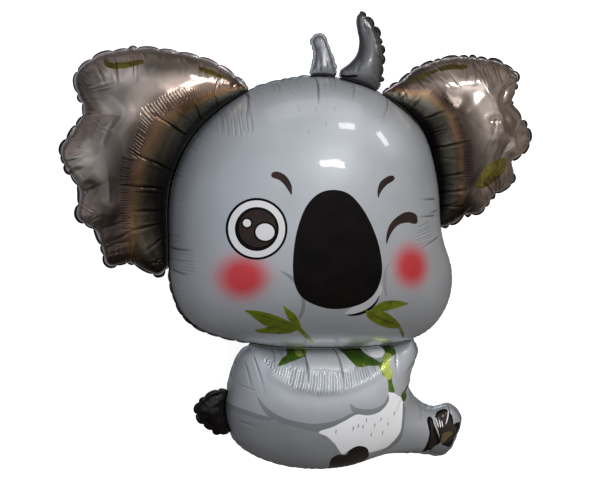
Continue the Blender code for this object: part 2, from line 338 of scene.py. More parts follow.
# Single creases: from the weld at one point to where it fades, with depth and width.
creases = {
    "left_ear": (
        ((-381, 306), (-428, 390), 0.0024, 0.0014), ((-322, 338), (-346, 412), 0.0024, 0.0014),
        ((-268, 372), (-264, 402), 0.0020, 0.0014), ((-440, 262), (-600, 364), 0.0026, 0.0014),
        ((-418, 298), (-486, 352), 0.0010, 0.0012), ((-480, 146), (-655, 222), 0.0026, 0.0015),
        ((-494, 88), (-680, 106), 0.0026, 0.0014), ((-494, 16), (-650, 18), 0.0020, 0.0015),
        ((-499, -22), (-650, -50), 0.0020, 0.0015), ((-498, -62), (-590, -126), 0.0022, 0.0015),
        ((-490, -10), (-600, -20), 0.0010, 0.0012), ((-498, 70), (-620, 84), 0.0010, 0.0012),
        ((-505, -140), (-590, -176), 0.0014, 0.0013),
        ((-746, 339), (-600, 320), 0.0050, 0.0080), ((-768, 74), (-670, 130), 0.0050, 0.0070),
        ((-722, -54), (-640, 20), 0.0040, 0.0065), ((-701, -118), (-640, -60), 0.0030, 0.0055),
        ((-616, -161), (-606, -60), 0.0032, 0.0055), ((-804, 143), (-720, 170), 0.0016, 0.0040),
        ((-554, 538), (-560, 430), 0.0016, 0.0060), ((-682, 519), (-630, 430), 0.0024, 0.0060),
        ((-773, 421), (-690, 430), 0.0020, 0.0045), ((-720, 500), (-690, 455), 0.0022, 0.0036),
        ((-690, 60), (-706, 240), 0.0018, 0.0060), ((-706, 240), (-640, 380), 0.0014, 0.0060),
    ),
    "right_ear": (
        ((318, 372), (340, 410), 0.0020, 0.0014), ((352, 338), (380, 392), 0.0022, 0.0014),
        ((398, 309), (474, 348), 0.0026, 0.0014), ((438, 252), (480, 270), 0.0014, 0.0012),
        ((440, 207), (548, 233), 0.0026, 0.0014), ((462, 105), (552, 124), 0.0022, 0.0014),
        ((466, 50), (560, 60), 0.0018, 0.0015), ((425, 270), (470, 292), 0.0010, 0.0012),
        ((470, 0), (560, 0), 0.0018, 0.0016),
        ((770, 365), (660, 350), 0.0055, 0.0075), ((770, 145), (670, 190), 0.0055, 0.0075),
        ((690, 34), (640, 120), 0.0045, 0.0070), ((581, -31), (590, 60), 0.0036, 0.0060),
        ((742, 49), (700, 90), 0.0020, 0.0036), ((697, 500), (690, 400), 0.0036, 0.0060),
        ((600, 512), (610, 440), 0.0026, 0.0050), ((760, 470), (700, 400), 0.0030, 0.0050),
        ((851, 241), (740, 250), 0.0024, 0.0055), ((700, 400), (640, 300), 0.0028, 0.0065),
        ((640, 300), (600, 180), 0.0024, 0.0065), ((700, 220), (640, 120), 0.0024, 0.0060),
        ((530, 514), (540, 440), 0.0016, 0.0050), ((620, 300), (720, 300), 0.0020, 0.0050),
    ),
    "head": (
        ((8, 448), (-28, 350), 0.0026, 0.0013), ((36, 447), (8, 396), 0.0008, 0.0011),
        ((60, 446), (28, 400), 0.0009, 0.0011), ((74, 446), (42, 396), 0.0009, 0.0011),
        ((140, 436), (96, 366), 0.0012, 0.0012), ((-136, 428), (-150, 396), 0.0010, 0.0011),
        ((-120, 430), (-136, 392), 0.0010, 0.0011), ((-222, 400), (-262, 300), 0.0022, 0.0014),
        ((262, 384), (190, 300), 0.0018, 0.0014), ((-60, 444), (-62, 400), 0.0006, 0.0012),
        ((-486, -113), (-425, -106), 0.0022, 0.0013), ((-486, -184), (-440, -200), 0.0020, 0.0013),
        ((392, 41), (310, 46), 0.0018, 0.0013), ((384, -14), (296, -11), 0.0018, 0.0013),
        ((410, 0), (345, -6), 0.0016, 0.0013), ((406, -90), (310, -120), 0.0020, 0.0013),
        ((-300, -430), (-280, -380), 0.0006, 0.0014), ((300, -478), (290, -430), 0.0006, 0.0014),
    ),
    "body": (
        ((-32, -486), (-36, -640), 0.0024, 0.0015), ((86, -492), (92, -650), 0.0022, 0.0015),
        ((-210, -500), (-176, -640), 0.0013, 0.0012), ((-238, -520), (-214, -640), 0.0010, 0.0012),
        ((-262, -600), (-196, -620), 0.0008, 0.0013), ((-140, -482), (-150, -560), 0.0012, 0.0012),
        ((-120, -478), (-96, -540), 0.0010, 0.0012), ((200, -494), (206, -560), 0.0012, 0.0014),
        ((300, -494), (290, -600), 0.0016, 0.0018), ((380, -645), (318, -690), 0.0048, 0.0040),
        ((318, -690), (300, -760), 0.0016, 0.0036), ((-250, -740), (-180, -760), 0.0009, 0.0020),
        ((439, -744), (420, -800), 0.0012, 0.0030), ((430, -950), (440, -890), 0.0012, 0.0026),
        ((571, -773), (562, -830), 0.0020, 0.0030), ((380, -560), (330, -600), 0.0016, 0.0026),
        ((600, -900), (556, -900), 0.0016, 0.0024), ((500, -962), (508, -910), 0.0012, 0.0024),
    ),
    "left_tuft": (
        ((34, 470), (30, 578), 0.0020, 0.0022), ((60, 480), (44, 560), 0.0012, 0.0016),
        ((20, 540), (44, 560), 0.0010, 0.0018),
    ),
    "right_tuft": (
        ((196, 648), (206, 560), 0.0026, 0.0022), ((206, 640), (214, 560), 0.0014, 0.0018),
        ((250, 520), (226, 520), 0.0012, 0.0018), ((254, 570), (226, 566), 0.0012, 0.0018),
        ((160, 470), (190, 540), 0.0010, 0.0020),
    ),
    "tail": (
        ((-290, -690), (-350, -700), 0.0022, 0.0022),
        ((-284, -740), (-340, -745), 0.0020, 0.0022),
        ((-270, -780), (-310, -786), 0.0014, 0.0018),
    ),
}


def along(points, count):
    # Points evenly spread on an open smooth curve.
    curve = smooth(points, False, guideStep)
    at = np.linspace(0, len(curve) - 1, count)
    return np.stack([np.interp(at, np.arange(len(curve)), curve[:, k]) for k in (0, 1)], 1)


def segmentReach(points, start, end):
    # Distance from each point to a segment, and the share of its length reached.
    side = end - start
    t = (points - start) @ side / (side @ side)
    held = np.clip(t, 0, 1)
    return np.hypot(*(points - start - held[:, None] * side).T), t


def pleatsOf(settings, loop):
    # Where round the loop the weld is pleated, and how strongly each stretch
    # between two pleats bulges and lifts.
    rng = random.Random(settings["seed"])
    total = lengthOf(loop)
    spacing = settings["pleats"]["spacing"]
    at = [0.0]
    while at[-1] < total - 0.6 * spacing:
        at.append(at[-1] + spacing * rng.uniform(*spacingSpread))
    at = np.array(at) * total / at[-1]
    bulge = np.array([rng.uniform(*bulgeSpread) for _ in at])
    lift = np.array([rng.uniform(*liftSpread) for _ in at])
    return at, bulge, lift


def lobes(gone, pleats):
    # The stretch between two pleats that each place is in, as 0 at a pleat and 1 midway.
    at, bulge, lift = pleats
    k = np.clip(np.searchsorted(at, gone, side="right") - 1, 0, len(at) - 2)
    t = np.clip((gone - at[k]) / (at[k + 1] - at[k]), 0, 1)
    return 4 * t * (1 - t), bulge[k], lift[k]


def foldsOf(settings, loop, rootSide, pleats, front):
    # All folds of a chamber as (start, end, depth, width, kind).
    rng = random.Random(settings["seed"] + (1 if front else 1001))
    found = []
    for ladder in ladders.get(settings["name"], ()) if front else ():
        count = ladder["ribs"]
        outer, inner = along(ladder["outer"], count), along(ladder["inner"], count)
        for k in range(count):
            slide = rng.uniform(-ribSlide, ribSlide)
            other = min(max(k + (1 if slide > 0 else -1), 0), count - 1)
            start = inner[k] + abs(slide) * (inner[other] - inner[k])
            end = outer[k] + abs(slide) * (outer[other] - outer[k])
            reach = (end - start) * rng.uniform(*ribReach)
            depth = ladder["depth"] * rng.uniform(*ribDepth)
            found.append((start - reach, end + reach, depth, ladder["width"], "rib"))
    for start, end, depth, width in creases.get(settings["name"], ()) if front else ():
        found.append((pattern(start), pattern(end), depth, width, "crease"))
    pleat = settings["pleats"]
    outward = sideways(loop)
    step = np.hypot(*(loop[1] - loop[0]))
    for place in pleats[0][:-1]:
        k = round(place / step) % len(loop)
        for _ in range(foldsPerPleat):
            j = (k + rng.randint(-2, 2)) % len(loop)
            length = rng.uniform(*pleat["length"]) * (rootPleat if rootSide[j] else 1)
            turn = rng.uniform(-pleatLean, pleatLean)
            inward = -outward[j]
            inward = np.array([inward[0] - turn * inward[1], inward[1] + turn * inward[0]])
            depth = rng.uniform(*pleat["depth"])
            found.append((loop[j], loop[j] + length * inward, depth, rng.uniform(*pleatWidth),
                          "pleat"))
    for _ in range(pleat.get("gathers", 0)):
        # Short fine gathers between the pleats.
        j = rng.randrange(len(loop))
        inward = -outward[j]
        found.append((loop[j], loop[j] + rng.uniform(*gatherLength) * inward,
                      rng.uniform(*gatherDepth), rng.uniform(*gatherWidth), "pleat"))
    return found


def creaseDepth(points, folds):
    # How far the creases push the film in at each point, and how much painted shade darkens their
    # bottoms.
    depth = np.zeros(len(points))
    dark = np.zeros(len(points))
    order = np.argsort(points[:, 0])
    sortedX = points[order, 0]
    for start, end, deep, wide, kind in folds:
        room = 5 * wide
        low = np.searchsorted(sortedX, min(start[0], end[0]) - room)
        high = np.searchsorted(sortedX, max(start[0], end[0]) + room)
        some = order[low:high]
        near = points[some]
        y0, y1 = sorted((start[1], end[1]))
        keep = (near[:, 1] > y0 - room) & (near[:, 1] < y1 + room)
        some, near = some[keep], near[keep]
        if not len(some):
            continue
        away, t = segmentReach(near, start, end)
        if kind == "rib":
            fade = np.clip(np.minimum(t, 1 - t) * 5, 0, 1)
        else:
            fade = np.clip(1 - t, 0, 1) ** 0.8
        wideHere = wide * (1 if kind == "rib" else 0.7 + 0.9 * np.clip(t, 0, 1))
        fade = fade * fade * (3 - 2 * fade)
        # A sharp valley with soft shoulders that stand a little proud.
        r = away / wideHere
        shape = np.exp(-np.sqrt(r * r + 0.06) * 1.6) - 0.25 * np.exp(-((r - 2.4) / 1.3) ** 2)
        depth[some] += deep * fade * shape
        strength = foldDark[kind] * min(max((deep - 0.0003) / 0.0015, 0), 1)
        if wide > wideFold:
            strength = softDark
        line = strength * fade * np.exp(-(away / min(wide, lineWidth)) ** 2)
        dark[some] = np.maximum(dark[some], 0.9 * line)
    return depth, dark


def swelling(points, name):
    # How far the low swells raise the film at each point.
    height = np.zeros(len(points))
    for line, high, wide in swells.get(name, ()):
        _, away = nearest(points, smooth(line, False, swellStep))
        height += high * np.exp(-(away / wide) ** 2)
    return height


def rumple(points, rng, size, height, count=9):
    # Gentle waves that keep the film from being perfectly smooth.
    total = np.zeros(len(points))
    for _ in range(count):
        turn = rng.uniform(0, math.tau)
        length = size * rng.uniform(0.6, 1.8)
        phase = rng.uniform(0, math.tau)
        way = np.array([math.cos(turn), math.sin(turn)]) * math.tau / length
        total += np.sin(points @ way + phase)
    return height * total / math.sqrt(count)


def seamHeight(points, headLoop):
    outside, _ = nearestOn(points, headLoop)
    outside[insideOf(points, headLoop)] = 0
    slope = np.where(points[:, 1] < neckLine * headWidth, bodySlope, earSlope)
    return -slope * outside


def lying(points):
    # From the pattern's own axes to where the balloon lies.
    x, y, z = np.transpose(points)
    return np.stack([x - lieShift[0],
                     y * math.cos(lieTip) - z * math.sin(lieTip) - lieShift[1],
                     y * math.sin(lieTip) + z * math.cos(lieTip) - lieShift[2]], axis=-1)


def vertexNormals(points, triangles):
    a, b, c = (points[triangles[:, k]] for k in range(3))
    face = np.cross(b - a, c - a)
    normals = np.zeros_like(points)
    for k in range(3):
        np.add.at(normals, triangles[:, k], face)
    return normals / np.maximum(np.linalg.norm(normals, axis=1), 1e-15)[:, None]


# Printed artwork, with painted highlights, painted reflections and painted shade among it,
# painted in this order: an ink and an outline, or an ink and an oval's centre, half-widths and
# turn. The cheeks are ovals that fade out.
blushes = (((-290, -187), (104, 100), 0), ((280, -173), (106, 88), -46))
blushTint = ((0.0, "#C7989C"), (0.5, "#CC6068"), (1.0, "#D2303B"))   # from the rim inward
eye = (-249, -29)
art = {
    "head": (
        ("dark", ((-176, -165), (-145, -177), (-114, -207), (-94, -245), (-86, -290), (-93, -330),
         (-103, -330), (-98, -292), (-106, -250), (-123, -217), (-148, -188))),
        ("shade", ((199, -142), (189, -163), (184, -183), (185, -211), (188, -239), (195, -272),
         (183, -258), (174, -227), (171, -196), (177, -169))),
        # Painted highlight: a paler crescent between the nose and the smile.
        ("pale", ((52, -322), (72, -301), (99, -292), (125, -278), (145, -260), (157, -240),
         (164, -223), (173, -245), (164, -269), (146, -293), (127, -310), (104, -320),
         (80, -325))),
        ("black", ((58, -328), (80, -325), (104, -320), (127, -310), (146, -295), (157, -279),
         (165, -263), (162, -283), (152, -302), (134, -319), (109, -330), (81, -333))),
        ("black", eye, (92.8, 99.1), -10),
        ("white", eye, (85.3, 91.1), -10),
        ("black", eye, (65.8, 70.3), -10),
        ("brown", (-247, -27), (56, 60), -10),
        ("black", (-279, -10), (17, 18), 0),
        ("white", (-279, -10), (12, 12.5), 0),
        ("black", (-225, -38), (34, 33), 0),
        ("white", (-225, -38), (28.8, 27.2), 0),
        ("black", ((-8, 93), (-57, 81), (-97, 41), (-124, -25), (-136, -96), (-136, -168),
         (-123, -223), (-94, -262), (-45, -289), (11, -303), (72, -299), (122, -280), (153, -243),
         (166, -182), (154, -107), (127, -33), (89, 33), (45, 79))),
        ("brown", ((-200, 143), (-194, 150), (-182, 152), (-169, 148), (-157, 140), (-147, 127),
         (-140, 110), (-139, 95), (-141, 79), (-147, 87), (-156, 102), (-166, 116), (-178, 126),
         (-191, 131), (-199, 135))),
        ("brown", ((214, 121), (210, 130), (194, 131), (176, 124), (159, 113), (150, 97),
         (146, 80), (148, 62), (156, 76), (169, 92), (187, 105), (205, 113))),
        ("brown", ((302, -15), (296, -1), (274, 9), (251, 10), (229, 3), (205, -11), (188, -29),
         (179, -51), (176, -72), (178, -91), (185, -73), (197, -52), (214, -35), (235, -26),
         (263, -25), (286, -31), (300, -29))),
        ("olive", ((-102, -363), (-89, -367), (-71, -387), (-50, -408), (-24, -437), (-33, -440),
         (-64, -413), (-89, -387), (-104, -375))),
        ("olive", ((-277, -303), (-254, -302), (-229, -305), (-203, -312), (-177, -321),
         (-149, -334), (-120, -351), (-97, -371), (-130, -368), (-157, -363), (-182, -366),
         (-202, -362), (-223, -348), (-245, -330), (-263, -314))),
        ("olive", ((-234, -379), (-213, -372), (-189, -363), (-158, -359), (-124, -365),
         (-96, -374), (-112, -390), (-143, -395), (-182, -394), (-215, -390))),
        ("olive", ((-158, -285), (-141, -297), (-123, -311), (-107, -329), (-95, -349),
         (-89, -370), (-105, -365), (-122, -350), (-134, -337), (-145, -317), (-152, -301))),
        ("darkOlive", ((-262, -306), (-215, -320), (-160, -341), (-108, -364), (-160, -346),
         (-215, -325))),
        ("olive", ((142, -316), (161, -297), (185, -287), (215, -286), (247, -291), (268, -298),
         (282, -305), (262, -311), (236, -317), (210, -321), (188, -325), (159, -327))),
        ("olive", ((125, -317), (146, -318), (173, -322), (200, -329), (227, -347), (251, -367),
         (273, -394), (248, -397), (215, -389), (181, -375), (153, -357), (132, -338))),
        ("darkOlive", ((150, -330), (190, -350), (228, -368), (262, -390), (226, -373),
         (188, -356))),
        ("olive", ((264, -385), (282, -404), (306, -438), (302, -448), (275, -411), (261, -393))),
    ),
    "body": (
        ("shade", ((-330, -676), (-271, -694), (-242, -701), (-197, -714), (-158, -720),
         (-105, -733), (-57, -740), (9, -770), (42, -792), (78, -831), (113, -877), (99, -880),
         (79, -902), (90, -955), (60, -1010), (-60, -1010), (-200, -930), (-300, -820))),
        ("dark", ((-297, -680), (-266, -685), (-231, -692), (-187, -703), (-153, -711),
         (-153, -721), (-197, -719), (-241, -709), (-274, -702), (-297, -694))),
        ("dark", ((-206, -632), (-190, -653), (-167, -678), (-131, -702), (-83, -721),
         (-21, -734), (29, -733), (72, -724), (109, -707), (138, -699), (142, -709), (99, -733),
         (56, -754), (9, -770), (-56, -752), (-117, -733), (-165, -706), (-189, -674))),
        ("dark", ((112, -666), (134, -683), (171, -693), (209, -694), (241, -681), (257, -657),
         (266, -662), (261, -684), (233, -711), (184, -719), (139, -712), (118, -692))),
        ("white", ((9, -770), (56, -752), (98, -730), (139, -710), (184, -718), (231, -708),
         (261, -674), (260, -639), (298, -660), (326, -691), (330, -769), (326, -818),
         (294, -872), (219, -886), (203, -862), (165, -847), (134, -862), (113, -877), (78, -831),
         (42, -792))),
        ("dark", ((332, -701), (343, -724), (342, -786), (338, -846), (307, -885), (269, -902),
         (294, -872), (326, -818), (330, -769), (327, -699))),
        ("sole", ((90, -955), (79, -902), (99, -880), (128, -883), (137, -860), (164, -845),
         (200, -858), (221, -892), (224, -925), (200, -990), (120, -1010))),
        ("pale", ((-60, -380), (150, -380), (150, -490), (126, -559), (80, -553), (30, -543),
         (-20, -538), (-28, -520), (-38, -505))),
        ("green", ((-133, -528), (-118, -507), (-90, -492), (-60, -440), (-6, -440), (-14, -475),
         (-27, -501), (-56, -510), (-91, -518))),
        ("green", ((69, -467), (40, -420), (150, -420), (196, -475), (199, -512), (230, -537),
         (229, -548), (188, -545), (150, -546), (129, -529), (111, -507))),
        ("white", (224, -505), (38, 19), -8),
        ("green", ((240, -440), (272, -470), (301, -513), (272, -531), (266, -552), (278, -573),
         (273, -602), (285, -644), (271, -645), (259, -638), (255, -599), (232, -572),
         (229, -546), (258, -519), (262, -495))),
        # Painted glints on the leaves.
        ("lime", ((246, -528), (262, -514), (282, -522), (272, -533), (266, -552), (277, -572),
         (273, -592), (257, -598), (240, -578), (231, -560))),
        ("lime", ((-62, -494), (-40, -486), (-16, -486), (-24, -499), (-44, -505), (-60, -503))),
        ("green", ((316, -668), (330, -650), (350, -636), (352, -675), (332, -693))),
        ("black", ((454, -798), (467, -786), (483, -796), (486, -815), (505, -854), (525, -894),
         (519, -920), (513, -940), (488, -933), (475, -950), (465, -920), (467, -882),
         (466, -847))),
        ("sole", ((470, -800), (478, -806), (484, -840), (500, -875), (512, -900), (506, -920),
         (486, -918), (476, -890), (474, -845))),
        ("black", ((505, -786), (525, -780), (547, -777), (563, -785), (575, -803), (580, -834),
         (594, -832), (621, -841), (639, -864), (614, -872), (599, -899), (590, -940),
         (562, -926), (534, -909), (519, -878), (509, -849), (498, -821), (494, -800))),
        ("sole", ((506, -792), (526, -786), (546, -783), (560, -792), (570, -820), (590, -845),
         (600, -860), (585, -900), (560, -918), (535, -900), (522, -868), (508, -840),
         (502, -815))),
        ("beige", ((526, -889), (530, -864), (549, -858), (572, -862), (577, -874), (562, -886),
         (550, -899), (536, -908))),
        # Painted glints: thin white lines where the foot's crumples catch the light.
        ("white", ((496, -800), (500, -799), (508, -826), (505, -829))),
        ("white", ((511, -806), (514, -806), (519, -830), (515, -832))),
        ("white", ((522, -812), (525, -812), (528, -830), (524, -832))),
        ("white", ((559, -784), (562, -790), (545, -822), (541, -822))),
        ("dark", ((516, -908), (538, -914), (562, -930), (592, -944), (580, -992), (520, -984),
         (498, -956), (502, -926))),
    ),
    "left_ear": (
        ("amber", ((-690, 507), (-668, 498), (-628, 497), (-575, 503), (-573, 491), (-630, 478),
         (-682, 480))),
        ("amber", ((-384, 482), (-331, 466), (-290, 443), (-340, 453), (-387, 469))),
    ),
    "right_ear": (
        ("amber", ((462, 485), (512, 496), (561, 493), (553, 479), (502, 478), (458, 471))),
        ("amber", ((361, 441), (405, 465), (449, 478), (447, 468), (402, 451), (363, 431))),
        ("amber", ((578, 70), (593, 123), (622, 154), (688, 169), (700, 139), (677, 105),
         (629, 72))),
    ),
    "left_tuft": (
        # Painted highlight on the left tuft.
        ("white", ((47, 538), (52, 534), (53, 491), (41, 490), (42, 514))),
    ),
    "right_tuft": (
        ("white", ((194, 650), (206, 641), (221, 617), (208, 624), (196, 640))),
        # Painted shadow: a black line along the tuft's foot where it meets the head.
        ("black", ((95, 460), (125, 456), (157, 458), (157, 450), (95, 450))),
    ),
}
# Short printed hairs: their half-widths and places.
furTickSize = (2.2, 9)
furTicks = {
    "head": ((-88, 347), (-34, 347), (31, 346), (-9, 299), (-69, 275)),
    "body": ((178, -738), (132, -765), (150, -757), (168, -762), (214, -762), (268, -765),
             (290, -728), (206, -800), (236, -742), (70, -772), (252, -800)),
}


def printsOf(name):
    # The printed shapes of a chamber, with its shapes of painted light and shade, as (ink, loop),
    # in painting order.
    found = []
    for ink, *shape in art.get(name, ()):
        line = smooth(*shape, True, artStep) if len(shape) == 1 else oval(*shape, artStep)
        found.append((ink, line))
    for place in furTicks.get(name, ()):
        found.append(("shade", oval(place, furTickSize, 0, tickStep)))
    return found


def bandShare(settings, points, root):
    # How far across the bands of printed tint and painted shade each point is, from the distance to
    # the head's weld.
    if "bands" not in settings:
        return np.zeros(len(points))
    x, y = (points * 1000 / headWidth).T
    width = np.interp(x, *zip(*settings["bands"]["across"]))
    return root / (width * np.interp(y, *zip(*settings["bands"]["up"])))


def paintedLightPatches(settings, points):
    # How much the soft patches of painted highlight and painted shade lighten or darken each point.
    light = np.zeros(len(points))
    for centre, radii, factor in settings.get("patches", ()):
        away = (points * 1000 / headWidth - centre) / radii
        light += math.log(factor) * np.exp(-(away ** 2).sum(axis=1))
    return np.exp(light)


# The net of each sheet, in metres: rows of points beside the weld, and how far its points
# keep from the weld, from printed outlines and from each other.
ringDepths = (0.0002, 0.0007, 0.0014, 0.0024, 0.0037, 0.0053, 0.0073)
ringKeep = 0.93                 # share of its depth that a ring keeps in tight corners
fineStart = 0.0080              # from the weld to the fine points in the folds
foldReach = (0.0016, 0.0030)    # least and most width of fine points beside a fold
slightFold = 0.0006             # pleats shallower than this get no fine points
rootBlend = 6                   # points over which the margin changes beside a neighbour
netTolerance = 1e-8             # points closer than this become one
printMargin = 0.0006            # from the weld to the printed outlines
printGap = 0.00045              # bare strip beside a printed outline on the face
ringGap = 0.00035               # and on the rings


def marginOf(settings, loop, rootSide, pleats):
    # How loose each place of the weld is, and how wide the margin there.
    free = ~np.concatenate([rootSide[-rootBlend:], rootSide, rootSide[:rootBlend]])
    window = 2 * rootBlend + 1
    free = np.convolve(free, np.ones(window) / window, "valid")
    between, bulge, _ = lobes(np.arange(len(loop)) * lengthOf(loop) / len(loop), pleats)
    least, most = settings["pleats"].get("teeth", teeth)
    margin = weldWidth * (least + (most - least) * bulge * np.sqrt(between))
    margin[inBoxes(loop, settings.get("narrowEdges", ()))] = narrowMargin
    return free, rootMargin + (margin - rootMargin) * free ** 2


def withFinePoints(grid, loop, folds):
    # The face's points, with closer ones where the film is folded.
    tiny = hexGrid(loop.min(axis=0), loop.max(axis=0), fineStep)
    tiny = tiny[insideOf(tiny, loop)]
    closeTo = np.zeros(len(grid), bool)
    wanted = np.zeros(len(tiny), bool)
    for start, end, deep, wide, kind in folds:
        if kind != "rib" and deep < slightFold:
            continue
        reach = min(max(foldReach[0], 1.8 * wide), foldReach[1])
        low, high = np.minimum(start, end) - reach, np.maximum(start, end) + reach
        for cloud, mark in ((grid, closeTo), (tiny, wanted)):
            some = np.flatnonzero(((cloud > low) & (cloud < high)).all(axis=1))
            if len(some):
                mark[some[segmentReach(cloud[some], start, end)[0] < reach]] = True
    tiny = tiny[wanted]
    away, _ = nearestOn(tiny, loop)
    return np.vstack([grid[~closeTo], tiny[away > fineStart]])


def printedLines(prints, loop):
    # The printed outlines' points on the film, and which of them follow each other.
    lines, pairs = [], []
    for _, line in prints:
        away, _ = nearestOn(line, loop)
        fits = insideOf(line, loop) & (away > printMargin)
        number = sum(len(each) for each in lines) + np.cumsum(fits) - 1
        for k in range(len(line)):
            after = (k + 1) % len(line)
            if fits[k] and fits[after]:
                pairs.append((int(number[k]), int(number[after])))
        lines.append(line[fits])
    return lines, pairs


def netOf(settings, loop, margin, folds, prints, front):
    # The flat net of one sheet: points and triangles on the pattern.
    step = settings["front" if front else "back"]
    count = len(loop)
    outward = sideways(loop)
    rows = [loop + outward * (margin * share)[:, None] for share in (1, 0.5)]
    rings = []
    for deep in ringDepths:
        row = loop - deep * outward
        away, _ = nearestOn(row, loop)
        rings.append(row[(away > ringKeep * deep) & insideOf(row, loop)])
    grid = hexGrid(loop.min(axis=0), loop.max(axis=0), step)
    away, _ = nearestOn(grid, loop)
    grid = grid[insideOf(grid, loop) & (away > ringDepths[-1] + 0.5 * step)]
    if front:
        grid = withFinePoints(grid, loop, folds)
    lines, pairs = printedLines(prints, loop)
    if sum(len(line) for line in lines):
        drawn = np.vstack(lines)
        grid = grid[nearest(grid, drawn)[1] > printGap]
        rings = [ring[nearest(ring, drawn)[1] > ringGap] for ring in rings]
    points = np.vstack(rows + [loop] + lines + rings + [grid])
    # The margin's edge, the weld and the printed outlines stay edges of the net.
    fixed = [(base + k, base + (k + 1) % count) for base in (0, 2 * count) for k in range(count)]
    fixed += [(a + 3 * count, b + 3 * count) for a, b in pairs]
    flat = delaunay_2d_cdt([tuple(p) for p in points], fixed, [], 0, netTolerance)
    points = np.array([tuple(p) for p in flat[0]])
    triangles = np.array([list(f) for f in flat[2]])
    kept = insideOf(points[triangles].mean(axis=1), points[:count])
    return points, triangles[kept]


def slotsOf(settings, middle, loop, margin, rootSide, prints, front):
    # Which film each triangle is of, from where its middle lies.
    inked = insideOf(middle, loop)
    slots = np.where(inked, 0 if front else 1, 2)
    if "blackFoil" in settings["inks"]:
        # Painted shade: the weld is black foil beside a neighbour, in the dark groove between
        # chambers, and in the boxes where its outer edge shows dark.
        away, gone = nearestOn(middle, loop)
        nearby = (gone / lengthOf(loop) * len(loop)).astype(int) % len(loop)
        black = rootSide[nearby] | inBoxes(middle, settings.get("shadeBlackEdges", ()))
        slots[black & ~inked] = settings["inks"].index("blackFoil")
        if "innerWeld" in settings:
            # The weld itself stays bright between the chamber and its black edge.
            bare = (away < innerWeldShare * margin[nearby]) & ~inked & ~rootSide[nearby]
            slots[bare] = settings["inks"].index(settings["innerWeld"])
    for ink, line in prints:
        slots[insideOf(middle, line) & inked] = settings["inks"].index(ink)
    return slots


def sheet(settings, loop, rootSide, pleats, headLoop, front):
    # One sheet of a chamber: its net on the pattern and where each point lies.
    rng = random.Random(settings["seed"] + (0 if front else 1000))
    free, margin = marginOf(settings, loop, rootSide, pleats)
    folds = foldsOf(settings, loop, rootSide, pleats, front)
    prints = printsOf(settings["name"]) if front else []
    points, triangles = netOf(settings, loop, margin, folds, prints, front)
    middle = points[triangles].mean(axis=1)
    slots = slotsOf(settings, middle, loop, margin, rootSide, prints, front)

    away, gone = nearestOn(points, loop)
    inside = insideOf(points, loop) & (away > 1e-6)
    lift = fullness * np.sqrt(np.maximum(inflation(points, triangles, ~inside), 0))
    sign = 1 if front else -1
    placed = np.column_stack([points, seamHeight(points, headLoop) + sign * (filmGap + lift)])

    # The weld buckles: between two pleats its margin bows up or down.
    signed = np.where(inside, away, -away)
    loose = np.interp(gone, np.arange(len(loop)) * lengthOf(loop) / len(loop), free)
    between, _, rise = lobes(gone, pleats)
    bow = loose * rise * (between - bowShare) * settings["pleats"]["bow"]
    past = np.clip(-signed / weldWidth, 0, 1)
    placed[:, 2] += bow * np.where(signed > 0, bowShare * np.exp(-signed / bowFade),
                                   bowShare + (1 - bowShare) * past)
    push, dark = creaseDepth(points, folds)
    if front:
        push -= swelling(points, settings["name"])
    long, short = (rumple(points, rng, size, share * settings["rumple"]) for size, share in waves)
    push += long + short
    push *= np.clip(away / restFade, 0, 1) * inside
    facing = triangles if front else triangles[:, ::-1]
    placed -= push[:, None] * vertexNormals(placed, facing)
    root = nearestOn(points, headLoop)[0]
    if settings["name"] == "body":
        # Painted shade: the body is darkened where the head overhangs the neck.
        dark = np.maximum(dark, neckShade * np.exp(-(root / neckReach) ** 2))
    return {"flat": points, "faces": facing, "places": placed, "slots": slots,
            "dark": dark, "share": bandShare(settings, points, root),
            "light": paintedLightPatches(settings, points)}


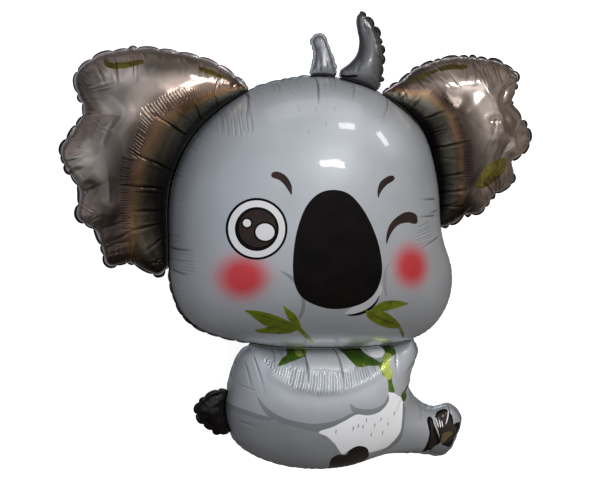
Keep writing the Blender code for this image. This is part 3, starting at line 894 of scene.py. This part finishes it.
def chamber(settings, loop, neighbours, headLoop):
    # A closed pillow from a front and a back sheet that meet at the margin's edge.
    rootSide = np.zeros(len(loop), bool)
    for other in neighbours:
        rootSide |= nearestOn(loop, other)[0] < weldWidth + 0.0004
    pleats = pleatsOf(settings, loop)
    front, back = (sheet(settings, loop, rootSide, pleats, headLoop, isFront)
                   for isFront in (True, False))
    count, number = len(loop), len(front["flat"])
    # The edge of the margin belongs to both sheets.
    renumber = np.arange(len(back["flat"])) + number - count
    renumber[:count] = np.arange(count)
    both = {key: np.concatenate([front[key], back[key][count:]])
            for key in ("flat", "places", "dark", "share", "light")}
    places = both["places"]
    places[:count, 2] = (front["places"][:count, 2] + back["places"][:count, 2]) / 2
    faces = np.vstack([front["faces"], renumber[back["faces"]]])
    slots = np.concatenate([front["slots"], back["slots"]])

    # It lies on its back, flat where it would reach below the floor.
    places = lying(places)
    places[:, 2] = np.maximum(places[:, 2], 0)

    mesh = bpy.data.meshes.new(settings["name"])
    mesh.vertices.add(len(places))
    mesh.vertices.foreach_set("co", places.astype(np.float32).ravel())
    mesh.loops.add(faces.size)
    mesh.loops.foreach_set("vertex_index", faces.astype(np.int32).ravel())
    mesh.polygons.add(len(faces))
    mesh.polygons.foreach_set("loop_start", np.arange(0, faces.size, 3, dtype=np.int32))
    mesh.polygons.foreach_set("material_index", slots.astype(np.int32))
    mesh.polygons.foreach_set("use_smooth", np.ones(len(faces), bool))
    mesh.update(calc_edges=True)
    uv = mesh.uv_layers.new(name="pattern")
    flat = both["flat"][faces.ravel()] / headWidth
    uv.data.foreach_set("uv", flat.astype(np.float32).ravel())
    for name, key in (("paintedShade", "dark"), ("bandShare", "share"), ("paintedLightPatches", "light")):
        layer = mesh.attributes.new(name, "FLOAT", "POINT")
        layer.data.foreach_set("value", both[key].astype(np.float32))
    mesh.validate()
    thing = bpy.data.objects.new(settings["name"], mesh)
    bpy.context.scene.collection.objects.link(thing)
    for ink in settings["inks"]:
        mesh.materials.append(inks[ink])
    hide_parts("foil_balloon")
    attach(thing, "root")
    print(settings["name"], len(faces), "triangles")
    return thing


# What the printed films share: how mirror-like and how blurred they are, the clear coat,
# and the sizes of their mottling and fine wrinkles in metres.
printedFilm = {"metallic": 0.45, "roughness": (0.38, 0.44), "coat": 0.6, "specular": 0.5,
               "cloud": 0.02, "crinkle": 0.006, "bump": 0.10}
wrinkleHeight = 0.0006
# Each film's colours, and where it differs from that.
looks = {
    # Silver-blue ink over aluminised film: a satin grey that still takes soft reflections.
    "grey": {"name": "silver-grey ink on foil film", "colours": ("#A9AEB4", "#B3B8BE"),
        "coat": 0.7, "cloud": 0.08},
    # The unprinted back: brighter, with clearer reflections.
    "plain": {"name": "plain grey foil film", "colours": ("#A2A6AB", "#ACB0B5"), "metallic": 0.8,
        "roughness": (0.26, 0.32), "coat": 0.3, "cloud": 0.08, "bump": 0.12},
    # Film with a thin grey coat: darker, with fairly clear reflections. Both tufts are this one
    # film, painted darker on the right tuft as painted shade and paler on the left as painted
    # light.
    "tuft": {"name": "grey foil film", "colours": ("#56575A", "#66676A"), "metallic": 0.7,
        "roughness": (0.28, 0.36), "coat": 0.4, "cloud": 0.03, "crinkle": 0.004, "bump": 0.15},
    # The left tuft's paler copy of the same film: painted light.
    "paintedLitTuft": {"name": "pale grey foil film", "colours": ("#888A8E", "#989A9E"),
        "metallic": 0.7, "roughness": (0.28, 0.36), "coat": 0.4, "cloud": 0.03, "crinkle": 0.004,
        "bump": 0.15},
    # Two films welded flat: crinkled finely, so it glints in dots. The grey edges are darker than
    # the plain film, as painted shade.
    "paleEdge": {"name": "welded silver-grey foil edge", "colours": ("#7E8389", "#8E9399"),
        "metallic": 0.6, "roughness": (0.3, 0.4), "coat": 0.3, "crinkle": 0.003, "bump": 0.2},
    "lilacEdge": {"name": "welded gunmetal foil edge", "colours": ("#6F6869", "#8D8687"),
        "metallic": 0.9, "roughness": (0.16, 0.24), "coat": 0.0, "cloud": 0.012, "crinkle": 0.003,
        "bump": 0.2},
    "edge": {"name": "welded grey foil edge", "colours": ("#5C6167", "#6E7379"), "metallic": 0.8,
        "roughness": (0.25, 0.35), "coat": 0.3, "crinkle": 0.003, "bump": 0.2},
    # Dense ink that hides the metal: nearly no reflection.
    "black": {"name": "black ink on foil film", "colours": ("#080606", "#141010"),
        "metallic": 0.0, "roughness": (0.36, 0.44), "coat": 0.0, "cloud": 0.03, "bump": 0.06,
        "specular": 0.06},
    "brown": {"name": "brown ink on foil film", "colours": ("#1C1010", "#33201A"),
        "metallic": 0.1, "roughness": (0.36, 0.44), "coat": 0.0, "bump": 0.06, "specular": 0.25},
    # Opaque white ink: it hides the metal, so it is bright and hardly mirrors.
    "white": {"name": "opaque white ink on foil film", "colours": ("#DEDEE1", "#E6E6E8"),
        "metallic": 0.0, "roughness": (0.4, 0.46), "coat": 0.4, "cloud": 0.05, "bump": 0.06},
    "pale": {"name": "pale grey ink on foil film", "colours": ("#C8CACE", "#D2D4D6"),
        "metallic": 0.35},
    "shade": {"name": "mid-grey ink on foil film", "colours": ("#979BA0", "#9FA3A8"),
        "cloud": 0.06},
    "dark": {"name": "dark grey ink on foil film", "colours": ("#858A8F", "#8D9297"),
        "cloud": 0.06},
    # Clear green ink lets the metal shine through in yellow glints.
    "olive": {"name": "olive green ink on foil film", "colours": ("#5F6E0C", "#8C9A14"),
        "metallic": 0.6, "roughness": (0.3, 0.4), "cloud": 0.012, "crinkle": 0.004},
    "darkOlive": {"name": "dark olive ink on foil film", "colours": ("#4A560A", "#667010"),
        "metallic": 0.6, "roughness": (0.3, 0.4), "cloud": 0.012, "crinkle": 0.004},
    "green": {"name": "leaf green ink on foil film", "colours": ("#3C6410", "#6A8C1C"),
        "metallic": 0.75, "roughness": (0.2, 0.28), "cloud": 0.015, "crinkle": 0.004},
    # Painted glint: bright yellow-green patches on the leaves, where the clear green ink catches
    # the light.
    "lime": {"name": "leaf green ink with painted glint", "colours": ("#B4C850", "#D6E47A"),
        "metallic": 0.75, "roughness": (0.2, 0.28), "cloud": 0.015, "crinkle": 0.004},
    # Thin dark ink: the metal still gleams through.
    "sole": {"name": "brown-black ink on foil film", "colours": ("#1B1413", "#2A1F1D"),
        "metallic": 0.6, "roughness": (0.22, 0.3), "crinkle": 0.004, "bump": 0.12},
    "beige": {"name": "beige ink on foil film", "colours": ("#5E543C", "#7A6E50"),
        "metallic": 0.5, "roughness": (0.25, 0.35), "coat": 0.5, "cloud": 0.01, "crinkle": 0.004},
    # Tinted mirror film: a warm grey mirror, blurred a little.
    "gunmetal": {"name": "gunmetal mirror foil film", "colours": ("#B8ABA3", "#CFC3BB"),
        "metallic": 1.0, "roughness": (0.14, 0.2), "coat": 0.0, "cloud": 0.05, "crinkle": 0.012},
    # Mirror film coloured yellow: a painted reflection of something yellow-green along the ears'
    # top weld, and a brownish patch low on the right ear.
    "amber": {"name": "mirror foil film with painted yellow reflection", "colours": ("#665E2C", "#8C8444"),
        "metallic": 1.0, "roughness": (0.14, 0.22), "coat": 0.0, "cloud": 0.006, "crinkle": 0.004,
        "bump": 0.15},
    # Black-coated film: a dark mirror. On welds beside a neighbour and in the listed boxes it is
    # painted shade.
    "blackFoil": {"name": "black mirror foil film", "colours": ("#0B0809", "#1B1516"),
        "metallic": 0.9, "roughness": (0.12, 0.2), "coat": 0.5, "crinkle": 0.005, "bump": 0.15},
}
# The ears' colour from the weld on the head outward, by share of the bands' width: partly a printed
# tint, partly painted shade and a painted reflection of the head's grey side, darkest at the weld.
earTintAndPaintedShade = (
    (0.0, "#1A1919"), (0.10, "#363534"), (0.20, "#50514C"), (0.48, "#62635C"), (0.54, "#6A6252"),
    (0.64, "#786650"), (0.72, "#6B5C53"), (0.78, "#5C544F"), (0.92, "#635E5B"), (1.02, "#7D7A78"),
    (1.15, "#9E9C9A"), (1.30, "#C4C3C2"), (1.45, "#FFFFFF"),
)
bandEnd = 1.45                  # where that tint ends


def linear(code):
    # An sRGB hex colour as linear values.
    parts = [int(code[k:k + 2], 16) / 255 for k in (1, 3, 5)]
    return tuple(p / 12.92 if p <= 0.04045 else ((p + 0.055) / 1.055) ** 2.4 for p in parts)


timesColour = {"data_type": "RGBA", "blend_type": "MULTIPLY"}   # for a Mix node


def addNode(tree, kind, inputs=(), stops=(), **settings):
    # Adds a node, sets its fields, links or fills its inputs by position or name, and
    # gives a colour ramp its stops.
    node = tree.nodes.new(kind)
    for key, value in settings.items():
        setattr(node, key, value)
    for key, value in (inputs.items() if isinstance(inputs, dict) else enumerate(inputs)):
        if isinstance(value, bpy.types.NodeSocket):
            tree.links.new(value, node.inputs[key])
        elif value is not None:
            node.inputs[key].default_value = value
    if stops:
        elements = node.color_ramp.elements
        while len(elements) < len(stops):
            elements.new(1)
        for element, (place, code) in zip(elements, stops):
            element.position = place
            element.color = (*linear(code), 1)
    return node


def film(look):
    # Foil film with its ink: mottled a little, with wrinkles too fine for the mesh.
    look = {**printedFilm, **look}
    material = bpy.data.materials.new(look["name"])
    material.use_nodes = True
    tree = material.node_tree
    shader = tree.nodes["Principled BSDF"]
    shader.inputs["Metallic"].default_value = look["metallic"]
    shader.inputs["Coat Weight"].default_value = look["coat"]
    shader.inputs["Coat Roughness"].default_value = 0.06
    shader.inputs["Specular IOR Level"].default_value = look["specular"]
    place = addNode(tree, "ShaderNodeTexCoord").outputs["Object"]
    cloud = addNode(tree, "ShaderNodeTexNoise", {"Vector": place, "Scale": 1 / look["cloud"],
                                                  "Detail": 3.0}).outputs["Fac"]
    stops = ((0.3, look["colours"][0]), (0.7, look["colours"][1]))
    colour = addNode(tree, "ShaderNodeValToRGB", (cloud,), stops).outputs["Color"]
    tree.links.new(colour, shader.inputs["Base Color"])
    low, high = look["roughness"]
    spread = addNode(tree, "ShaderNodeMapRange", (cloud, 0.3, 0.7, low, high))
    tree.links.new(spread.outputs["Result"], shader.inputs["Roughness"])
    fine = addNode(tree, "ShaderNodeTexNoise", {"Vector": place, "Scale": 1 / look["crinkle"],
                                                 "Detail": 2.0}).outputs["Fac"]
    bump = addNode(tree, "ShaderNodeBump", {"Strength": look["bump"], "Distance": wrinkleHeight,
                                            "Height": fine})
    tree.links.new(bump.outputs["Normal"], shader.inputs["Normal"])
    return material


def baseColour(material):
    # The material's nodes, the socket that its colour goes into, and the colour so far.
    tree = material.node_tree
    socket = tree.nodes["Principled BSDF"].inputs["Base Color"]
    return tree, socket, socket.links[0].from_socket


def addBlush(material):
    # Round soft red cheeks printed into the grey ink.
    tree, socket, colour = baseColour(material)
    place = addNode(tree, "ShaderNodeUVMap", uv_map="pattern").outputs["UV"]
    for centre, radii, turn in blushes:
        local = addNode(tree, "ShaderNodeMapping", {
            "Vector": place, "Location": (centre[0] / 1000, centre[1] / 1000, 0),
            "Rotation": (0, 0, math.radians(turn)),
            "Scale": (radii[0] / 1000, radii[1] / 1000, 1)}, vector_type="TEXTURE")
        away = addNode(tree, "ShaderNodeVectorMath", (local.outputs["Vector"],), operation="LENGTH")
        share = addNode(tree, "ShaderNodeMapRange", (away.outputs["Value"], 0.30, 1.20, 1.0, 0.0),
                        interpolation_type="SMOOTHSTEP").outputs["Result"]
        red = addNode(tree, "ShaderNodeValToRGB", (share,), blushTint).outputs["Color"]
        colour = addNode(tree, "ShaderNodeMix", {0: share, 6: colour, 7: red},
                         data_type="RGBA").outputs[2]
    tree.links.new(colour, socket)


def tintAndShadeBands(material):
    # The gunmetal film darkens in bands toward the weld on the head: printed tint with painted
    # shade and painted reflection. The soft patches of painted highlight and painted shade are
    # multiplied in.
    tree, socket, colour = baseColour(material)
    across = addNode(tree, "ShaderNodeAttribute", attribute_name="bandShare").outputs["Fac"]
    across = addNode(tree, "ShaderNodeMapRange", (across, 0.0, bandEnd, 0.0, 1.0))
    light = addNode(tree, "ShaderNodeAttribute", attribute_name="paintedLightPatches").outputs["Fac"]
    stops = [(place / bandEnd, code) for place, code in earTintAndPaintedShade]
    tint = addNode(tree, "ShaderNodeValToRGB", (across.outputs["Result"],), stops)
    for factor in (tint.outputs["Color"], light):
        colour = addNode(tree, "ShaderNodeMix", {0: 1, 6: colour, 7: factor}, **timesColour)
        colour = colour.outputs[2]
    tree.links.new(colour, socket)


def paintFoldAndNeckShade(material):
    # Painted shade: the colour is darkened at the bottoms of deep folds, where they keep the light
    # out, and under the head's overhang.
    tree, socket, colour = baseColour(material)
    fold = addNode(tree, "ShaderNodeAttribute", attribute_name="paintedShade").outputs["Fac"]
    stops = ((0.0, "#FFFFFF"), (1.0, "#000000"))
    shade = addNode(tree, "ShaderNodeValToRGB", (fold,), stops).outputs["Color"]
    colour = addNode(tree, "ShaderNodeMix", {0: 1, 6: colour, 7: shade}, **timesColour)
    tree.links.new(colour.outputs[2], socket)


inks = {name: film(look) for name, look in looks.items()}
addBlush(inks["grey"])
tintAndShadeBands(inks["gunmetal"])
for each in inks.values():
    paintFoldAndNeckShade(each)
print("materials ready")


# Each chamber: the outline of its weld, the spacing of points on both its sheets in metres,
# its pleats, how rumpled it is, its films (face, back, margin, printed inks and inks of painted
# light and shade), boxes where the margin is painted black as shade or cut close, and the seed of
# its random folds.
head = {
    "name": "head",
    "outline": (
        (517, -232), (466, -80), (450, 98), (394, 270), (254, 388), (122, 437),
        (-5, 448), (-212, 400), (-382, 276), (-472, 110), (-487, -86), (-473, -282),
        (-387, -397), (-170, -463), (0, -480), (222, -489), (400, -463), (496, -366),
    ),
    "front": 0.0024,            # spacing of points over the face, metres
    "back": 0.0040,
    "pleats": {"spacing": 0.017, "length": (0.006, 0.022), "depth": (0.0003, 0.0010), "bow": 0.0020,
               "gathers": 260},
    "rumple": 0.00012,
    "inks": ("grey", "plain", "edge", "blackFoil", "black", "white", "brown", "shade", "dark",
             "pale", "olive", "darkOlive"),
    "shadeBlackEdges": ((-600, -400, -430, -130), (440, 560, -200, -30)),
    "seed": 3,
}
leftEar = {
    "name": "left_ear",
    "outline": (
        (-216, 409), (-310, 482), (-406, 517), (-554, 538), (-682, 519), (-761, 470),
        (-773, 421), (-746, 339), (-788, 273), (-826, 204), (-804, 143), (-768, 74),
        (-777, -8), (-722, -54), (-701, -118), (-684, -168), (-616, -161),
        (-537, -200), (-500, -180),
    ),
    "front": 0.0016,
    "back": 0.0030,
    "pleats": {"spacing": 0.021, "length": (0.012, 0.050), "depth": (0.0006, 0.0018), "bow": 0.0060,
               "teeth": (0.40, 1.60)},
    "rumple": 0.0006,
    "inks": ("gunmetal", "gunmetal", "lilacEdge", "blackFoil", "amber"),
    "innerWeld": "lilacEdge",
    # How wide the bands of tint and painted shade are in metres, by place across and as a share by
    # height.
    "bands": {"across": ((-540, 0.085), (-440, 0.062), (-350, 0.041), (-290, 0.028), (-240, 0.018)),
              "up": ((0, 1.0),)},
    # Soft patches of painted highlight and painted shade: centre, half-widths, factor.
    "patches": (((-300, 412), (110, 45), 4.5), ((-420, 432), (80, 40), 3.0),
                ((-650, 150), (50, 100), 0.60), ((-530, 70), (60, 170), 0.40),
                ((-810, 170), (70, 90), 2.4), ((-765, 10), (60, 80), 2.3),
                ((-690, -110), (70, 60), 2.6), ((-580, -130), (70, 60), 2.6),
                ((-620, 335), (110, 42), 2.6), ((-700, 60), (50, 90), 1.4),
                ((-500, 415), (75, 36), 3.5), ((-560, 378), (60, 40), 1.7),
                ((-672, 392), (62, 38), 0.42), ((-755, 440), (45, 45), 0.50),
                ((-560, 88), (40, 60), 0.55), ((-658, -61), (60, 60), 1.8)),
    "shadeBlackEdges": ((-900, -700, -400, 330), (-760, -400, -400, 0), (-900, -790, 200, 400)),
    "seed": 5,
}
rightEar = {
    "name": "right_ear",
    "outline": (
        (483, -72), (539, -58), (581, -31), (650, -26), (697, 30), (742, 49),
        (781, 76), (770, 145), (834, 190), (851, 241), (809, 305), (770, 365),
        (797, 446), (756, 487), (655, 509), (530, 514), (406, 479), (328, 427),
        (266, 396),
    ),
    "front": 0.0016,
    "back": 0.0030,
    "pleats": {"spacing": 0.020, "length": (0.012, 0.050), "depth": (0.0006, 0.0018), "bow": 0.0060,
               "teeth": (0.40, 1.75)},
    "rumple": 0.0007,
    "inks": ("gunmetal", "gunmetal", "blackFoil", "lilacEdge", "amber"),
    "innerWeld": "lilacEdge",
    "bands": {"across": ((280, 0.022), (340, 0.036), (400, 0.056)),
              "up": ((60, 0.80), (105, 0.84), (230, 0.93), (310, 1.0))},
    # Soft patches of painted highlight and painted shade: centre, half-widths, factor.
    "patches": (((350, 400), (90, 45), 5.0), ((440, 440), (70, 40), 2.0),
                ((470, 210), (32, 90), 2.4), ((495, 50), (35, 60), 1.6),
                ((620, 170), (90, 110), 0.34), ((575, 50), (45, 45), 2.6),
                ((560, 400), (80, 45), 0.60), ((460, 375), (26, 30), 0.50),
                ((770, 200), (60, 60), 1.7), ((680, 60), (60, 50), 1.4),
                ((407, 338), (38, 40), 2.2)),
    "seed": 8,
}
leftTuft = {
    "name": "left_tuft",
    "outline": (
        (88, 475), (80, 507), (66, 550), (53, 584), (34, 590), (16, 572), (24, 537),
        (18, 495), (2, 458),
    ),
    "front": 0.0014,
    "back": 0.0020,
    "pleats": {"spacing": 0.012, "length": (0.004, 0.012), "depth": (0.0003, 0.0008),
               "bow": 0.0020},
    "rumple": 0.00025,
    "inks": ("paintedLitTuft", "paintedLitTuft", "paleEdge", "blackFoil", "white"),
    "seed": 13,
}
rightTuft = {
    "name": "right_tuft",
    "outline": (
        (250, 433), (256, 475), (262, 514), (260, 559), (246, 600), (226, 637),
        (200, 662), (181, 655), (179, 618), (186, 571), (174, 527), (146, 495),
        (112, 473),
    ),
    "front": 0.0014,
    "back": 0.0020,
    "pleats": {"spacing": 0.013, "length": (0.004, 0.014), "depth": (0.0003, 0.0008), "bow": 0.0030,
               "teeth": (0.25, 1.70)},
    "narrowEdges": ((0, 190, 400, 700),),
    "rumple": 0.00025,
    "inks": ("tuft", "tuft", "edge", "blackFoil", "white", "black"),
    "shadeBlackEdges": ((180, 400, 430, 700),),
    "seed": 21,
}
body = {
    "name": "body",
    "outline": (
        (-214, -473), (-248, -510), (-272, -603), (-282, -714), (-252, -818),
        (-172, -899), (-49, -957), (79, -983), (185, -980), (308, -946), (421, -948),
        (507, -963), (573, -979), (608, -951), (632, -862), (621, -816), (571, -773),
        (503, -776), (439, -744), (393, -693), (380, -645), (394, -579), (402, -530),
        (387, -498),
    ),
    "front": 0.0017,
    "back": 0.0030,
    "pleats": {"spacing": 0.016, "length": (0.005, 0.020), "depth": (0.0003, 0.0009), "bow": 0.0020,
               "gathers": 140, "teeth": (0.80, 1.0)},
    "rumple": 0.00018,
    "inks": ("grey", "plain", "paleEdge", "blackFoil", "shade", "dark", "white", "pale", "green",
             "lime", "sole", "beige", "black"),
    "seed": 34,
}
tail = {
    "name": "tail",
    "outline": (
        (-292, -639), (-335, -652), (-365, -676), (-384, -709), (-368, -753),
        (-335, -780), (-305, -805), (-268, -808),
    ),
    "front": 0.0014,
    "back": 0.0020,
    "pleats": {"spacing": 0.014, "length": (0.006, 0.018), "depth": (0.0007, 0.0020), "bow": 0.0050,
               "teeth": (0.40, 1.60)},
    "rumple": 0.0013,
    "inks": ("blackFoil", "blackFoil", "blackFoil"),
    "seed": 55,
}


headLoop = smooth(head["outline"], True, loopStep)
bodyLoop = closedAlong(body["outline"], headLoop, loopStep)
tailLoop = closedAlong(tail["outline"], bodyLoop, loopStep)
loops = {"head": headLoop, "body": bodyLoop, "tail": tailLoop}
for settings in (leftEar, rightEar, leftTuft, rightTuft):
    loops[settings["name"]] = closedAlong(settings["outline"], headLoop, loopStep)
print("outlines ready")

pieces = {}
for settings in (head, leftEar, rightEar, leftTuft, rightTuft, body, tail):
    others = [loops[n] for n in loops if n != settings["name"]]
    pieces[settings["name"]] = chamber(settings, loops[settings["name"]], others, headLoop)
print("chambers ready")


# The camera, fitted to the photograph: angles in degrees, lengths in metres.
view = {"yaw": 15, "pitch": 8, "distance": 1.6, "frameWidth": 0.84, "aside": -0.014,
        "below": -0.0504}
studio = {
    "floorSize": 30,
    "paperGlow": 0.8,
    "roomStrength": 1.2,
    # The room's light from below (0) over level (0.5) to overhead (1).
    "heights": ((0.0, "#5A5654"), (0.40, "#857F7C"), (0.50, "#94908D"), (0.62, "#ADACAB"),
                (0.75, "#D2D3D5"), (0.88, "#EEEFF1"), (1.0, "#F4F4F5")),
    # The same from past the feet (0) to past the head (1), multiplied in.
    "lengths": ((0.0, "#7E7A77"), (0.15, "#9C9895"), (0.30, "#EEECEA"), (0.55, "#FFFFFF"),
                (1.0, "#FFFFFF")),
    # And from the viewer's left (0) to the right (1).
    "sides": ((0.0, "#CDD3DB"), (0.3, "#F2F4F7"), (0.5, "#FFFFFF"), (0.75, "#F4F0EB"),
              (1.0, "#E2DDD7")),
    # The room's own light and dark patches.
    "patches": {"size": 0.42, "dark": 0.62, "bright": 1.30},
    "lightDistance": 2.5,
    # Name, the place in the film that shows it, its direction from there, its long side's
    # direction, size, radiance, and the chambers that it lights if not all.
    "lights": (
        ("long window", (-5, 175, 281), (0.28, 0.49, 0.83), (0.95, -0.15, -0.26), (0.62, 0.14),
         25),
        ("upper window", (57, 290, 229), (0.42, 0.79, 0.44), (0.88, -0.23, -0.41), (0.40, 0.24),
         12),
        ("side window", (185, 246, 227), (0.74, 0.59, 0.33), (0.46, -0.81, 0.35), (0.42, 0.22),
         12),
        ("left ear strip", (-390, 440, 66), (0.55, 0.62, 0.55), (0.56, 0.02, -0.83), (2.7, 0.34),
         4.5, ("left_ear",)),
        ("right ear strip", (-390, 440, 66), (0.55, 0.62, 0.55), (0.56, 0.02, -0.83), (2.7, 0.34),
         1.5, ("right_ear",)),
        ("head glow", (20, 380, 110), (0.15, 0.98, 0.14), (1.0, 0.0, 0.0), (2.4, 1.1), 1.0,
         ("head",)),
        ("body strip", (60, -590, 114), (0.36, 0.20, 0.91), (0.67, 0.58, -0.46), (2.45, 0.09), 24,
         ("body",)),
    ),
}


def toWorld(point):
    return Vector(lying(point))


def turned(way):
    return (toWorld(way) - toWorld((0, 0, 0))).normalized()


def studioFloor():
    mesh = bpy.data.meshes.new("floor")
    shape = bmesh.new()
    bmesh.ops.create_grid(shape, x_segments=1, y_segments=1, size=studio["floorSize"])
    shape.to_mesh(mesh)
    shape.free()
    floor = bpy.data.objects.new("floor", mesh)
    bpy.context.scene.collection.objects.link(floor)
    # Matt white paper, lit a little from behind so that it stays white.
    paper = bpy.data.materials.new("matt white paper")
    paper.use_nodes = True
    shader = paper.node_tree.nodes["Principled BSDF"]
    shader.inputs["Base Color"].default_value = (*linear("#F4F4F4"), 1)
    shader.inputs["Roughness"].default_value = 0.95
    shader.inputs["Emission Color"].default_value = (1, 1, 1, 1)
    shader.inputs["Emission Strength"].default_value = studio["paperGlow"]
    mesh.materials.append(paper)
    floor.visible_glossy = False
    floor.visible_diffuse = False


def studioCamera():
    # The camera looks from the viewer's left and from above the head.
    yaw, pitch = math.radians(view["yaw"]), math.radians(view["pitch"])
    toCamera = Vector((-math.sin(yaw) * math.cos(pitch), math.sin(pitch),
                       math.cos(yaw) * math.cos(pitch)))
    rightWay = Vector((math.cos(yaw), 0, math.sin(yaw)))
    upWay = toCamera.cross(rightWay)
    aim = rightWay * view["aside"] + upWay * view["below"]
    camera = bpy.data.objects.new("camera", bpy.data.cameras.new("camera"))
    bpy.context.scene.collection.objects.link(camera)
    camera.data.sensor_width = 36
    camera.data.lens = 36 * view["distance"] / view["frameWidth"]
    axes = Matrix((turned(rightWay), turned(upWay), turned(toCamera))).transposed()
    place = toWorld(aim + toCamera * view["distance"])
    camera.matrix_world = Matrix.Translation(place) @ axes.to_4x4()
    bpy.context.scene.camera = camera


def softbox(name, target, way, across, size, radiance, only=()):
    # A window of light seen in the film at the target, in the direction way.
    light = bpy.data.lights.new(name, "AREA")
    light.shape = "RECTANGLE"
    light.size, light.size_y = size
    light.energy = radiance * math.pi * size[0] * size[1]
    lamp = bpy.data.objects.new(name, light)
    bpy.context.scene.collection.objects.link(lamp)
    back = turned(way)
    up = back.cross(turned(across)).normalized()
    axes = Matrix((up.cross(back), up, back)).transposed()
    place = toWorld(pattern(target)) + back * studio["lightDistance"]
    lamp.matrix_world = Matrix.Translation(place) @ axes.to_4x4()
    if only:
        lit = bpy.data.collections.new(name)
        for each in only:
            lit.objects.link(pieces[each])
        lamp.light_linking.receiver_collection = lit


def studioRoom():
    # A soft room: bright overhead, dim toward the floor, with light and dark patches.
    world = bpy.data.worlds.new("room")
    bpy.context.scene.world = world
    world.use_nodes = True
    tree = world.node_tree
    way = addNode(tree, "ShaderNodeTexCoord").outputs["Generated"]
    x, y, z = addNode(tree, "ShaderNodeSeparateXYZ", (way,)).outputs
    colour = None
    for source, stops in ((z, "heights"), (y, "lengths"), (x, "sides")):
        share = addNode(tree, "ShaderNodeMapRange", (source, -1.0, 1.0, 0.0, 1.0))
        part = addNode(tree, "ShaderNodeValToRGB", (share.outputs["Result"],), studio[stops])
        part = part.outputs["Color"]
        if colour:
            part = addNode(tree, "ShaderNodeMix", {0: 1, 6: colour, 7: part}, **timesColour)
            part = part.outputs[2]
        colour = part
    patches = studio["patches"]
    cloud = addNode(tree, "ShaderNodeTexNoise", {"Vector": way, "Scale": 1 / patches["size"],
                                                  "Detail": 2.0, "Distortion": 0.6})
    level = addNode(tree, "ShaderNodeMapRange", (cloud.outputs["Fac"], 0.38, 0.62,
                                                 patches["dark"], patches["bright"]))
    level = addNode(tree, "ShaderNodeMath", (level.outputs["Result"], studio["roomStrength"]),
                    operation="MULTIPLY")
    background = tree.nodes["Background"]
    tree.links.new(colour, background.inputs["Color"])
    tree.links.new(level.outputs["Value"], background.inputs["Strength"])


studioFloor()
studioCamera()
studioRoom()
for each in studio["lights"]:
    softbox(*each)
bpy.context.scene.view_settings.view_transform = "Standard"
print("studio ready")
